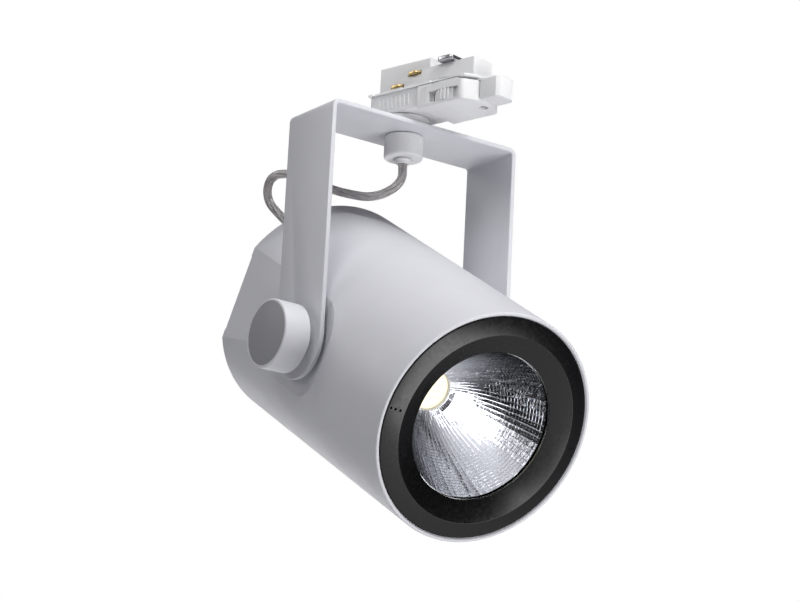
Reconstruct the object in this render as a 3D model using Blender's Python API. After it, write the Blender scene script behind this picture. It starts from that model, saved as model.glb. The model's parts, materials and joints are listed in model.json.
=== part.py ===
"""Track spotlight: cylindrical head in a U yoke, hung from a three-circuit track adapter.

Metres, +Z up. The origin is on the pan axis, on the top face of the adapter's insert, which meets
the roof of the track's channel. The yoke's tilt axis is X and the head looks towards -Y, tilted
down. The adapter stands turned on the pan axis, as the light was set. The heights below are
measured from the adapter's seat, which bears on the track's lower face.
"""

from math import asin, cos, degrees, pi, radians, sin, sqrt

import bmesh
import bpy
from mathutils import Matrix, Vector

MM = 0.001

# Driving dimensions, in millimetres and degrees
PAN_AT_REST = 13.5
TILT_AT_REST = 31.0
GAP = 0.3
INSERT_TOP = 20.0

PLATE_UNDER = -25.5
YOKE_WIDTH = 142.0
YOKE_DEPTH = 48.0
YOKE_THICK = 3.0
YOKE_BEND = 2.0
PIVOT_Z = -173.0
STUD_R = 4.0

HEAD_R = 72.5
HEAD_WALL = 2.5
HEAD_FRONT = 114.0
HEAD_REAR = -93.0
HEAD_SEGMENTS = 96
FLAT_X = 65.5
FLAT_SKIN = 3.2
POCKET_R = 33.0
POCKET_CENTRE = 3.5

RING_RIDGE_R = 59.3
RING_MOUTH_R = 46.6
REFLECTOR_MOUTH_R = 46.0
REFLECTOR_THROAT_R = 12.6
REFLECTOR_RIM_R = 57.5
REFLECTOR_BACK = 50.5
REFLECTOR_FRONT = 107.6

KNOB_R = 21.5
KNOB_INNER_X = 76.0
KNOB_OUTER_X = 94.0

GLAND_R = 12.3
GLAND_BOTTOM = -40.5
LEAD_R = 2.8
REAR_GLAND_X = -34.0
REAR_GLAND_N = 46.0

ADAPTER_HALF = 18.0
ADAPTER_BOTTOM = -16.6
NECK_HALF = 16.5
NECK_BOTTOM = -14.5
NECK_END = -16.0
SEAM = 25.0
BOW_START = 61.0
BOW_END = 68.0
LEVER_PIVOT = 41.4
WHEEL_R = 13.5
WHEEL_X = -4.9
WHEEL_U = 46.0
WHEEL_RIBS = 30
SCREW_X = 4.0
SCREW_U = 60.6

# Finishes: colour, roughness, metallic
FINISHES = {
    "powder_white": ((0.80, 0.80, 0.82), 0.45, 0.0),
    "plastic_white": ((0.82, 0.82, 0.82), 0.35, 0.0),
    "satin_black": ((0.02, 0.02, 0.022), 0.4, 0.0),
    "bright_reflector": ((0.92, 0.92, 0.94), 0.06, 1.0),
    "cast_aluminium": ((0.62, 0.63, 0.65), 0.45, 1.0),
    "zinc_steel": ((0.60, 0.60, 0.62), 0.35, 1.0),
    "brass": ((0.80, 0.62, 0.30), 0.3, 1.0),
    "led_phosphor": ((0.98, 0.86, 0.45), 0.5, 0.0),
    "led_ceramic": ((0.88, 0.88, 0.86), 0.5, 0.0),
    "grey_plastic": ((0.35, 0.36, 0.37), 0.5, 0.0),
    "clear_sheath": ((0.78, 0.76, 0.74), 0.2, 0.0),
    "friction_nylon": ((0.55, 0.55, 0.55), 0.6, 0.0),
}


def clear_scene():
    """Removes the startup scene's objects."""
    for obj in list(bpy.data.objects):
        bpy.data.objects.remove(obj)


def finish(name):
    """The material of this name, made once."""
    found = bpy.data.materials.get(name)
    if found:
        return found
    colour, roughness, metallic = FINISHES[name]
    made = bpy.data.materials.new(name)
    made.use_nodes = True
    shader = made.node_tree.nodes["Principled BSDF"]
    shader.inputs["Base Color"].default_value = (*colour, 1.0)
    shader.inputs["Roughness"].default_value = roughness
    shader.inputs["Metallic"].default_value = metallic
    made.diffuse_color = (*colour, 1.0)
    return made


def empty(name, location=(0, 0, 0), rotation=(0, 0, 0)):
    """An empty that carries pieces, on its joint axis."""
    obj = bpy.data.objects.new(name, None)
    obj.location = Vector(location) * MM
    obj.rotation_euler = rotation
    bpy.context.scene.collection.objects.link(obj)
    return obj


def place(name, mesh, parent, material=None, location=(0, 0, 0), smooth=True):
    """Links a bmesh, drawn in millimetres, as one object under a frame."""
    bmesh.ops.scale(mesh, vec=(MM, MM, MM), verts=mesh.verts)
    bmesh.ops.recalc_face_normals(mesh, faces=mesh.faces)
    data = bpy.data.meshes.new(name)
    mesh.to_mesh(data)
    mesh.free()
    obj = bpy.data.objects.new(name, data)
    obj.parent = parent
    obj.location = Vector(location) * MM
    bpy.context.scene.collection.objects.link(obj)
    if material:
        data.materials.append(finish(material))
    if smooth:
        data.shade_smooth()
        data.set_sharp_from_angle(angle=radians(30))
    return obj


def cutter(obj):
    """Marks a helper that only cuts or joins."""
    obj.hide_render = True
    obj.display_type = "WIRE"
    return obj


def combine(obj, other, operation):
    """Adds an exact Boolean with a helper."""
    cutter(other)
    modifier = obj.modifiers.new(operation.lower(), "BOOLEAN")
    modifier.operation = operation
    modifier.solver = "EXACT"
    modifier.object = other
    return obj


def arc(cx, cy, radius, start, end, count):
    """Points along an arc, angles in degrees."""
    angles = [radians(start + (end - start) * i / count) for i in range(count + 1)]
    return [(cx + radius * cos(angle), cy + radius * sin(angle)) for angle in angles]


def rounded(width, depth, radius, count=4):
    """A rectangle about the origin with rounded corners."""
    x, y = width / 2 - radius, depth / 2 - radius
    return (
        arc(x, y, radius, 0, 90, count)
        + arc(-x, y, radius, 90, 180, count)
        + arc(-x, -y, radius, 180, 270, count)
        + arc(x, -y, radius, 270, 360, count)
    )


def prism(outline, low, high, edge=0.0):
    """A closed outline in XY, extruded from low to high, with softened rims."""
    mesh = bmesh.new()
    loop = [mesh.verts.new((x, y, low)) for x, y in outline]
    base = mesh.faces.new(loop)
    lifted = bmesh.ops.extrude_face_region(mesh, geom=[base])
    top = [v for v in lifted["geom"] if isinstance(v, bmesh.types.BMVert)]
    bmesh.ops.translate(mesh, vec=(0, 0, high - low), verts=top)
    bmesh.ops.recalc_face_normals(mesh, faces=mesh.faces)
    if edge:
        soften(mesh, edge, [e for e in mesh.edges if abs(e.verts[0].co.z - e.verts[1].co.z) < 1e-6])
    return mesh


def across(outline, low, high):
    """An outline in YZ, extruded along X from low to high."""
    mesh = prism(outline, low, high)
    to_x = Matrix(((0, 0, 1), (1, 0, 0), (0, 1, 0)))
    bmesh.ops.transform(mesh, matrix=to_x.to_4x4(), verts=mesh.verts)
    return mesh


def soften(mesh, width, edges):
    """Bevels the given edges."""
    bmesh.ops.bevel(mesh, geom=edges, offset=width, segments=1, affect="EDGES", profile=0.5, material=-1)


def block(width, depth, height, edge=0.0, centre=(0, 0, 0)):
    """A box about a centre with bevelled edges."""
    mesh = bmesh.new()
    bmesh.ops.create_cube(mesh, size=1.0)
    bmesh.ops.scale(mesh, vec=(width, depth, height), verts=mesh.verts)
    if edge:
        soften(mesh, edge, list(mesh.edges))
    bmesh.ops.translate(mesh, vec=centre, verts=mesh.verts)
    return mesh


def lathe(profile, segments, closed=True):
    """A profile of (radius, height) points spun round Z; open profiles end on the axis."""
    mesh = bmesh.new()
    points = [mesh.verts.new((radius, 0, height)) for radius, height in profile]
    edges = [mesh.edges.new(pair) for pair in zip(points, points[1:])]
    if closed:
        edges.append(mesh.edges.new((points[-1], points[0])))
    bmesh.ops.spin(
        mesh,
        geom=points + edges,
        cent=(0, 0, 0),
        axis=(0, 0, 1),
        angle=2 * pi,
        steps=segments,
        use_merge=True,
        use_duplicate=False,
    )
    bmesh.ops.remove_doubles(mesh, verts=mesh.verts, dist=1e-4)
    bmesh.ops.recalc_face_normals(mesh, faces=mesh.faces)
    return mesh


def rod(radius, low, high, segments=24, edge=0.0):
    """A solid round bar along Z."""
    if edge:
        profile = [(0, low), (radius - edge, low), (radius, low + edge)]
        profile += [(radius, high - edge), (radius - edge, high), (0, high)]
    else:
        profile = [(0, low), (radius, low), (radius, high), (0, high)]
    return lathe(profile, segments, closed=False)


def sleeve(inner, outer, low, high, segments=32, edge=0.0):
    """A round tube along Z, with its outer rims broken."""
    if edge:
        rims = [(outer - edge, low), (outer, low + edge), (outer, high - edge), (outer - edge, high)]
    else:
        rims = [(outer, low), (outer, high)]
    return lathe([(inner, low), *rims, (inner, high)], segments)


def turned(mesh, axis, angle):
    """Rotates a bmesh about the origin."""
    bmesh.ops.rotate(mesh, cent=(0, 0, 0), matrix=Matrix.Rotation(radians(angle), 3, axis), verts=mesh.verts)
    return mesh


def along_x(mesh, side):
    """Lays a mesh built along Z onto the X axis, pointing to one side."""
    return turned(mesh, "Y", 90 * side)


def bow_outline(half, start, nose, begin, corner=3.0):
    """The adapter's plan, in XY: straight sides, square rear, bowed near end towards -Y."""
    rise = nose - start
    radius = (half * half + rise * rise) / (2 * rise)
    swing = 0.94 * degrees(asin(half / radius))
    points = [(half, -begin), (half, corner - start)]
    points += arc(0, radius - nose, radius, 270 + swing, 270 - swing, 12)
    points += [(-half, corner - start), (-half, -begin)]
    return points


def build_adapter(frame):
    """Everything that stays with the track: housing, insert, contacts, lever and wheel."""
    body = place(
        "adapter_body",
        prism(rounded(2 * NECK_HALF, SEAM - 0.15 - NECK_END, 2.5), NECK_BOTTOM, -0.8, 0.6),
        frame,
        "plastic_white",
        (0, -(SEAM - 0.15 + NECK_END) / 2, 0),
    )
    flange_plan = bow_outline(ADAPTER_HALF, BOW_START, BOW_END, NECK_END)
    flange = place("adapter_flange_cut", prism(flange_plan, -1.5, 0), frame)
    combine(body, flange, "UNION")
    cavity = place("adapter_cavity_cut", block(26, 33, 14, centre=(0, -4.5, -5.5)), frame)
    combine(body, cavity, "DIFFERENCE")
    neck_hole = place("adapter_neck_cut", rod(5.3, -20, -8), frame)
    combine(body, neck_hole, "DIFFERENCE")
    shaft_hole = place("adapter_shaft_cut", rod(4.3, -5, 2), frame, location=(0, -LEVER_PIVOT, 0))
    combine(body, shaft_hole, "DIFFERENCE")

    cover = place(
        "adapter_cover",
        prism(bow_outline(ADAPTER_HALF, BOW_START, BOW_END, SEAM + 0.15), ADAPTER_BOTTOM, -1.8, 1.0),
        frame,
        "plastic_white",
    )
    sweep = [(46, -31.5), (-13.5, -31.5), (-13.5, -57.5), (-40, -57.5), (-40, -90), (46, -90)]
    combine(cover, place("cover_slot_cut", prism(sweep, -3.4, 0.2), frame), "DIFFERENCE")
    wheel_room = place(
        "cover_wheel_cut", rod(WHEEL_R + 0.4, -15.0, 0, 40), frame, location=(WHEEL_X, -WHEEL_U, 0)
    )
    combine(cover, wheel_room, "DIFFERENCE")
    window = place("cover_window_cut", block(12, 23.6, 7.6, centre=(-17, -WHEEL_U, -11.0)), frame)
    combine(cover, window, "DIFFERENCE")
    screw_hole = place(
        "cover_screw_cut",
        lathe([(0, -18), (2.9, -18), (2.9, -13.8), (1.5, -13.8), (1.5, -4.6), (0, -4.6)], 24, closed=False),
        frame,
        location=(SCREW_X, -SCREW_U, 0),
    )
    combine(cover, screw_hole, "DIFFERENCE")
    axle = place("cover_axle_cut", rod(2.0, -15.8, -8, 20), frame, location=(WHEEL_X, -WHEEL_U, 0))
    combine(cover, axle, "UNION")

    ribs = []
    for i in range(WHEEL_RIBS):
        for share, radius in ((0.0, WHEEL_R - 0.7), (0.28, WHEEL_R), (0.64, WHEEL_R), (0.92, WHEEL_R - 0.7)):
            angle = 2 * pi * (i + share) / WHEEL_RIBS
            ribs.append((radius * cos(angle), radius * sin(angle)))
    wheel = place("circuit_wheel", prism(ribs, -14.7, -7.4), frame, "plastic_white", (WHEEL_X, -WHEEL_U, 0))
    wheel_bore = place("wheel_bore_cut", rod(2.3, -16, -6, 20), frame, location=(WHEEL_X, -WHEEL_U, 0))
    combine(wheel, wheel_bore, "DIFFERENCE")

    screw = lathe(
        [
            (0, -14.9),
            (0.9, -14.9),
            (0.9, -15.8),
            (2.2, -15.8),
            (2.6, -15.4),
            (2.6, -14.1),
            (1.2, -14.1),
            (1.2, -5),
            (0, -5),
        ],
        20,
        closed=False,
    )
    place("cover_screw", screw, frame, "zinc_steel", (SCREW_X, -SCREW_U, 0))

    lever = place(
        "lock_lever",
        prism(arc(0, 0, 8.0, 0, 180, 12) + [(-8.0, -28.5), (8.0, -28.5)], -3.1, -1.8),
        frame,
        "plastic_white",
        (0, -LEVER_PIVOT, 0),
    )
    inner = arc(0, 0, BOW_END - LEVER_PIVOT + 0.7, 270 + 17, 270 - 17, 6)
    outer = [(-8.0, -38.5), (-6.0, -40.5), (0, -41.2), (6.0, -40.5), (8.0, -38.5)]
    tab_mesh = prism(inner + outer, ADAPTER_BOTTOM + 0.5, -1.9, 0.8)
    tab = place("lever_tab_cut", tab_mesh, frame, location=(0, -LEVER_PIVOT, 0))
    combine(lever, tab, "UNION")
    shaft = place("lever_shaft_cut", rod(4.0, -2.6, 17.5, 20), frame, location=(0, -LEVER_PIVOT, 0))
    combine(lever, shaft, "UNION")
    latch = prism(rounded(27, 12.4, 2.5), 13.9, 16.9, 0.5)
    cam = place("track_latch", latch, frame, "zinc_steel", (0, -LEVER_PIVOT, 0))
    cam_bore = place("latch_bore_cut", rod(4.3, 12, 19, 20), frame, location=(0, -LEVER_PIVOT, 0))
    combine(cam, cam_bore, "DIFFERENCE")

    insert = place("track_insert", block(18, 78, 19.7, 0.8, centre=(0, -24, 10.15)), frame, "plastic_white")
    step = place("insert_step_cut", block(30, 60, 12, centre=(0, -56.6, 19.5)), frame)
    combine(insert, step, "DIFFERENCE")
    shaft_way = place("insert_shaft_cut", rod(4.3, -2, 22, 20), frame, location=(0, -LEVER_PIVOT, 0))
    combine(insert, shaft_way, "DIFFERENCE")
    contacts = (
        ("phase_contact_1", -1, 5.0, 0.0),
        ("phase_contact_2", -1, 11.5, 14.0),
        ("phase_contact_3", 1, 5.0, 14.0),
        ("neutral_contact", 1, 11.5, 0.0),
        ("earth_contact", 1, 17.0, 14.0),
    )
    for name, side, height, reach in contacts:
        hole = place(name + "_cut", block(8, 11.2, 2.6, centre=(side * 8.5, -reach, height)), frame)
        combine(insert, hole, "DIFFERENCE")
        blade = prism([(0, -5), (4.6, -5), (6.6, -2.5), (6.6, 2.5), (4.6, 5), (0, 5)], -0.8, 0.8)
        if side < 0:
            blade = turned(blade, "Z", 180)
        place(name, blade, frame, "brass", (side * 4.9, -reach, height), smooth=False)

    place("terminal_block", block(22, 9, 7.5, 0.6, centre=(0, -14.6, -8.4)), frame, "grey_plastic")
    collar = sleeve(5.3, 16.3, PLATE_UNDER + YOKE_THICK + GAP, NECK_BOTTOM - GAP, 36, 0.6)
    place("swivel_collar", collar, frame, "plastic_white")


def yoke_outline():
    """The U of the yoke seen along Y, arms down."""
    x = YOKE_WIDTH / 2
    top = PLATE_UNDER + YOKE_THICK
    foot = PIVOT_Z - YOKE_DEPTH / 2 - 1
    outer_bend = YOKE_BEND + YOKE_THICK
    inner = x - YOKE_THICK
    points = [(-x, foot)]
    points += arc(-x + outer_bend, top - outer_bend, outer_bend, 180, 90, 6)
    points += arc(x - outer_bend, top - outer_bend, outer_bend, 90, 0, 6)
    points += [(x, foot), (inner, foot)]
    points += arc(inner - YOKE_BEND, PLATE_UNDER - YOKE_BEND, YOKE_BEND, 0, 90, 4)
    points += arc(-inner + YOKE_BEND, PLATE_UNDER - YOKE_BEND, YOKE_BEND, 90, 180, 4)
    points += [(-inner, foot)]
    return points


def build_yoke(frame):
    """The U bar, its swivel and the clamp knobs."""
    half = YOKE_DEPTH / 2
    bar = turned(prism(yoke_outline(), -half - 2, half + 2), "X", 90)
    yoke = place("yoke", bar, frame, "powder_white")
    side_view = arc(0, PIVOT_Z, half, 180, 360, 24) + [(half, 10), (-half, 10)]
    combine(yoke, place("yoke_end_cut", across(side_view, -80, 80), frame), "INTERSECT")
    combine(yoke, place("yoke_neck_cut", rod(5.3, -35, -15, 32), frame), "DIFFERENCE")
    pin = place("yoke_pin_cut", along_x(rod(STUD_R + GAP, -80, 80, 28), 1), frame, location=(0, 0, PIVOT_Z))
    combine(yoke, pin, "DIFFERENCE")

    nipple = sleeve(3.4, 5.0, -33.0, -9.8, 32)
    place("swivel_nipple", nipple, frame, "zinc_steel")
    hexagon = prism(arc(0, 0, 9.2, 0, 300, 5), -12.2, -9.8, 0.3)
    nut = place("swivel_nut", hexagon, frame, "zinc_steel", smooth=False)
    combine(nut, place("nut_bore_cut", rod(5.3, -14, -8, 32), frame), "DIFFERENCE")
    gland = lathe(
        [
            (5.3, PLATE_UNDER - GAP),
            (GLAND_R - 0.5, PLATE_UNDER - GAP),
            (GLAND_R, PLATE_UNDER - GAP - 0.5),
            (GLAND_R, GLAND_BOTTOM + 0.9),
            (GLAND_R - 0.9, GLAND_BOTTOM),
            (4.3, GLAND_BOTTOM),
            (4.3, -33.5),
            (5.3, -33.5),
        ],
        40,
    )
    place("gland_body", gland, frame, "plastic_white")
    collar = lathe(
        [
            (LEAD_R + GAP, -34.0),
            (4.0, -34.0),
            (4.0, GLAND_BOTTOM - GAP),
            (5.2, GLAND_BOTTOM - GAP),
            (5.2, GLAND_BOTTOM - 1.6),
            (4.4, GLAND_BOTTOM - 3.4),
            (LEAD_R + GAP, GLAND_BOTTOM - 3.4),
        ],
        28,
    )
    place("gland_collar", collar, frame, "plastic_white")

    arm_in = YOKE_WIDTH / 2 - YOKE_THICK
    arm_out = YOKE_WIDTH / 2
    for side, word in ((-1, "left"), (1, "right")):
        hub = (0, 0, PIVOT_Z)
        washer = along_x(sleeve(STUD_R + GAP, 14.0, FLAT_X + GAP, arm_in - GAP, 28), side)
        place(word + "_friction_washer", washer, frame, "friction_nylon", hub)
        spacer = along_x(sleeve(STUD_R + GAP, 14.5, arm_out + GAP, KNOB_INNER_X - GAP, 28), side)
        place(word + "_knob_spacer", spacer, frame, "plastic_white", hub)
        knob = lathe(
            [
                (0, KNOB_INNER_X + 10),
                (STUD_R + GAP, KNOB_INNER_X + 10),
                (STUD_R + GAP, KNOB_INNER_X),
                (KNOB_R - 0.8, KNOB_INNER_X),
                (KNOB_R, KNOB_INNER_X + 0.8),
                (KNOB_R, KNOB_OUTER_X - 1.0),
                (KNOB_R - 0.3, KNOB_OUTER_X - 0.3),
                (KNOB_R - 1.0, KNOB_OUTER_X),
                (0, KNOB_OUTER_X),
            ],
            48,
            closed=False,
        )
        place(word + "_knob", along_x(knob, side), frame, "plastic_white", hub)
        stud = along_x(rod(STUD_R, 54.0, KNOB_INNER_X + 9.7, 24, 0.4), side)
        place(word + "_stud", stud, frame, "zinc_steel", hub)


def pocket_outline(extra=0.0):
    """The stadium of a yoke recess, in (n, s) of the head, open past the rear rim."""
    radius = POCKET_R + extra
    return arc(0, POCKET_CENTRE, radius, 0, 180, 32) + [(-radius, HEAD_REAR - 5), (radius, HEAD_REAR - 5)]


def build_housing(frame):
    """The cylinder with its two flats, and what closes its rear."""
    shell = lathe(
        [
            (HEAD_R - 0.5, HEAD_REAR),
            (HEAD_R, HEAD_REAR + 0.5),
            (HEAD_R, HEAD_FRONT - 0.6),
            (HEAD_R - 0.6, HEAD_FRONT),
            (HEAD_R - 1.9, HEAD_FRONT),
            (HEAD_R - HEAD_WALL, HEAD_FRONT - 0.8),
            (HEAD_R - HEAD_WALL, HEAD_REAR),
        ],
        HEAD_SEGMENTS,
    )
    housing = place("housing_shell", shell, frame, "powder_white")
    for side, word in ((-1, "left"), (1, "right")):
        low, high = sorted((side * (FLAT_X - FLAT_SKIN), side * 80))
        wall = place("pocket_wall_%s_cut" % word, across(pocket_outline(3.0), low, high), frame)
        core = rod(HEAD_R - 1.0, HEAD_REAR + 0.6, 60, HEAD_SEGMENTS)
        combine(wall, place("pocket_core_%s_cut" % word, core, frame), "INTERSECT")
        combine(housing, wall, "UNION")
    for side, word in ((-1, "left"), (1, "right")):
        low, high = sorted((side * FLAT_X, side * 90))
        flat = place("flat_%s_cut" % word, across(pocket_outline(), low, high), frame)
        combine(housing, flat, "DIFFERENCE")
        hole = place("stud_hole_%s_cut" % word, along_x(rod(STUD_R + GAP, 50, 80, 28), side), frame)
        combine(housing, hole, "DIFFERENCE")
        boss = along_x(sleeve(STUD_R + GAP, 9.0, 53.0, FLAT_X - FLAT_SKIN - GAP, 28, 0.5), side)
        place(word + "_pivot_boss", boss, frame, "cast_aluminium")

    disc = rod(HEAD_R - HEAD_WALL - GAP, -91.5, -88.5, 72, 0.5)
    cover = place("rear_cover", disc, frame, "powder_white")
    between_flats = block(2 * (FLAT_X - FLAT_SKIN - GAP), 160, 30, centre=(0, 0, -90))
    combine(cover, place("rear_cover_trim_cut", between_flats, frame), "INTERSECT")
    gland_place = (REAR_GLAND_X, REAR_GLAND_N, 0)
    gland_hole = place("rear_gland_cut", rod(5.3, -100, -80, 28), frame, location=gland_place)
    combine(cover, gland_hole, "DIFFERENCE")
    for index, (x, n) in enumerate(((0, 62.0), (-53.0, -33.0), (53.0, -33.0))):
        hole = place("rear_screw_%d_cut" % index, rod(1.9, -100, -80, 20), frame, location=(x, n, 0))
        combine(cover, hole, "DIFFERENCE")
        screw = lathe(
            [
                (0, -93.0),
                (1.1, -93.0),
                (1.1, -93.9),
                (2.6, -93.9),
                (3.2, -93.4),
                (3.2, -91.8),
                (1.6, -91.8),
                (1.6, -82.0),
                (0, -82.0),
            ],
            20,
            closed=False,
        )
        place("rear_screw_%s" % "abc"[index], screw, frame, "zinc_steel", (x, n, 0))
    boot = lathe(
        [
            (LEAD_R + GAP, -86.0),
            (5.0, -86.0),
            (5.0, -91.8),
            (7.6, -91.8),
            (7.6, -95.0),
            (6.2, -96.0),
            (5.2, -98.0),
            (4.1, -108.0),
            (LEAD_R + GAP, -108.0),
        ],
        32,
    )
    place("rear_gland", boot, frame, "plastic_white", gland_place)
    place("driver_case", block(60, 54, 62, 2.0, centre=(4, -6, -57.2)), frame, "grey_plastic")


def build_optics(frame):
    """Heat sink, light engine, reflector and the front ring."""
    teeth = 9
    pitch = (80 - 2.6) / (teeth - 1)
    outline = [(-40, 42.5), (-40, -6)]
    for i in range(teeth):
        x = -40 + pitch * i
        outline += [(x + 2.6, -6), (x + 2.6, 34)] if i < teeth - 1 else [(x + 2.6, -6)]
        if i < teeth - 1:
            outline += [(x + pitch, 34), (x + pitch, -6)]
    outline += [(40, 42.5)]
    comb = turned(prism(outline, -34, 34), "X", 90)
    plate = rod(HEAD_R - HEAD_WALL - GAP, 41.0, 45.0, 60, 0.4)
    sink = place("heat_sink", plate, frame, "cast_aluminium")
    combine(sink, place("heat_sink_fins_cut", comb, frame), "UNION")
    place("led_board", rod(20.0, 45.3, 46.8, 32), frame, "led_ceramic")
    place("led_emitter", rod(11.5, 47.1, 48.1, 32, 0.2), frame, "led_phosphor")
    place("led_holder", sleeve(13.0, 24.0, 47.1, 50.1, 32, 0.5), frame, "led_ceramic")

    span = REFLECTOR_FRONT - REFLECTOR_BACK
    steps = 7
    inner = []
    for i in range(steps + 1):
        s = REFLECTOR_BACK + span * i / steps
        r = sqrt(REFLECTOR_THROAT_R**2 + (REFLECTOR_MOUTH_R**2 - REFLECTOR_THROAT_R**2) * i / steps)
        inner.append((r, s))
    outer = [(r + 1.2, s) for r, s in inner[:-1]]
    rim_back = REFLECTOR_FRONT - 1.2
    rim = [(REFLECTOR_RIM_R, REFLECTOR_FRONT), (REFLECTOR_RIM_R, rim_back)]
    neck = [(REFLECTOR_MOUTH_R + 0.6, rim_back)]
    bowl = lathe(inner + rim + neck + outer[::-1], 48)
    place("reflector", bowl, frame, "bright_reflector")

    base = lathe(
        [
            (HEAD_R - HEAD_WALL - GAP, 95.0),
            (HEAD_R - HEAD_WALL - GAP, 103.6),
            (66.1, 103.6),
            (66.1, 109.8),
            (60.2, 109.8),
            (60.2, 106.1),
            (52.5, 106.1),
            (52.5, 103.1),
            (57.2, 103.1),
            (57.2, 95.0),
        ],
        60,
    )
    place("bayonet_base", base, frame, "satin_black")
    ring = lathe(
        [
            (69.6, 104.0),
            (69.6, 113.2),
            (69.2, 113.6),
            (RING_RIDGE_R, 116.4),
            (RING_MOUTH_R, 110.4),
            (RING_MOUTH_R, 108.6),
            (RING_RIDGE_R - 0.5, 114.2),
            (66.5, 111.9),
            (66.5, 104.0),
        ],
        84,
    )
    place("front_ring", ring, frame, "satin_black")


# The lead's middle line in the yoke's frame: down from the gland, out behind the yoke, into the head
LEAD_ROUTE = (
    (0.0, 0.0, -34.6),
    (0.0, 0.0, -45.0),
    (0.5, 0.5, -50.5),
    (-0.5, 1.5, -55.0),
    (-3.5, 4.5, -59.5),
    (-8.0, 10.5, -63.0),
    (-13.5, 18.0, -64.0),
    (-19.5, 27.0, -61.8),
    (-25.5, 36.5, -58.3),
    (-32.0, 48.0, -52.5),
    (-37.5, 59.5, -46.8),
    (-41.0, 70.0, -43.0),
    (-42.8, 79.5, -42.0),
    (-43.0, 86.5, -44.5),
    (-42.0, 90.0, -50.5),
    (-40.0, 89.5, -57.5),
    (-37.6, 84.5, -64.2),
)


def smooth_route(points, count):
    """Evenly spaced points on a smooth curve through the given ones."""
    path = [Vector(p) for p in points]
    padded = [path[0] * 2 - path[1], *path, path[-1] * 2 - path[-2]]
    fine = []
    for a, b, c, d in zip(padded, padded[1:], padded[2:], padded[3:]):
        for i in range(12):
            t = i / 12
            square = (2 * a - 5 * b + 4 * c - d) * t**2
            cube = (3 * b - a - 3 * c + d) * t**3
            fine.append((2 * b + (c - a) * t + square + cube) / 2)
    fine.append(path[-1])
    lengths = [0.0]
    for a, b in zip(fine, fine[1:]):
        lengths.append(lengths[-1] + (b - a).length)
    found = []
    for i in range(count):
        target = lengths[-1] * i / (count - 1)
        j = min(range(len(lengths) - 1), key=lambda k: abs((lengths[k] + lengths[k + 1]) / 2 - target))
        share = (target - lengths[j]) / (lengths[j + 1] - lengths[j])
        found.append(fine[j].lerp(fine[j + 1], max(0.0, min(1.0, share))))
    return found


def head_matrix():
    """Where the head's own frame (x, n, s) stands in the yoke's, in millimetres."""
    return Matrix.Translation((0, 0, PIVOT_Z)) @ Matrix.Rotation(radians(90 + TILT_AT_REST), 4, "X")


def build_lead(frame):
    """The clear supply lead from the yoke's gland to the head's rear gland."""
    depths = (-112.0, -108.0, -100.0, -88.0)
    into_head = [head_matrix() @ Vector((REAR_GLAND_X, REAR_GLAND_N, s)) for s in depths]
    points = smooth_route([*LEAD_ROUTE, *into_head], 44)
    data = bpy.data.curves.new("supply_lead", "CURVE")
    data.dimensions = "3D"
    data.bevel_depth = LEAD_R * MM
    data.bevel_resolution = 2
    data.use_fill_caps = True
    spline = data.splines.new("POLY")
    spline.points.add(len(points) - 1)
    for slot, point in zip(spline.points, points):
        slot.co = (*(point * MM), 1.0)
    data.materials.append(finish("clear_sheath"))
    obj = bpy.data.objects.new("supply_lead", data)
    obj.parent = frame
    bpy.context.scene.collection.objects.link(obj)


def main():
    clear_scene()
    bpy.context.scene.unit_settings.scale_length = 1.0
    adapter_frame = empty("adapter_frame", (0, 0, -INSERT_TOP), (0, 0, radians(PAN_AT_REST)))
    yoke_frame = empty("yoke_frame", (0, 0, -INSERT_TOP))
    head_frame = empty("head_frame", (0, 0, PIVOT_Z - INSERT_TOP), (radians(90 + TILT_AT_REST), 0, 0))
    build_adapter(adapter_frame)
    build_yoke(yoke_frame)
    build_housing(head_frame)
    build_optics(head_frame)
    build_lead(yoke_frame)


main()
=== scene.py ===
"""Finished look of a track spotlight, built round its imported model.

The head hangs in a U yoke under a track adapter. Each sub-assembly below builds its own pieces in
millimetres in its own frame and places them in the shared frame, in metres.
"""

import json
import logging
import math
import random
from dataclasses import dataclass, field
from enum import Enum
from typing import Iterable, Sequence

import bmesh
import bpy
from mathutils import Matrix, Vector


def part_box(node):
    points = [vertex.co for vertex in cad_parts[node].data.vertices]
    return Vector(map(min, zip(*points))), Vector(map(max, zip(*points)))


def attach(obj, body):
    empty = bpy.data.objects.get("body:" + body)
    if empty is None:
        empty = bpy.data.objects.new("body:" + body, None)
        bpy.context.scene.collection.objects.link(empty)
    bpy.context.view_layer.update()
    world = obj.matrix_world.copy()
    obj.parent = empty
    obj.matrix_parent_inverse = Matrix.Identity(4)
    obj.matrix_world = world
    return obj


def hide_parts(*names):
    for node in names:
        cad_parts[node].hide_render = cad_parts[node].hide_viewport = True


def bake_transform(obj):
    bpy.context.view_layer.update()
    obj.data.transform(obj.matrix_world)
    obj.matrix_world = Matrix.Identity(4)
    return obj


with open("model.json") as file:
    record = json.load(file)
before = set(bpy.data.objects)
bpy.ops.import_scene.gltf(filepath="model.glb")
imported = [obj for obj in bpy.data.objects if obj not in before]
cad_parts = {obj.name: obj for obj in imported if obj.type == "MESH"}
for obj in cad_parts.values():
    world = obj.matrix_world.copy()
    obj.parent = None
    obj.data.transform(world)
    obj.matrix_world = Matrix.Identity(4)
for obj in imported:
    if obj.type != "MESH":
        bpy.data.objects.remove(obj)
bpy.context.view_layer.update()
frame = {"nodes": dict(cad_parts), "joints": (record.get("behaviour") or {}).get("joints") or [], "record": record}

LOG = logging.getLogger("track_spotlight")
MM = 0.001
WELD = 2e-6
WELD_MM = 1e-4
FLAT_ANGLE = 0.6

Shape = bmesh.types.BMesh
Socket = bpy.types.NodeSocket
Piece = bpy.types.Object
Point = tuple[float, float]


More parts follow.
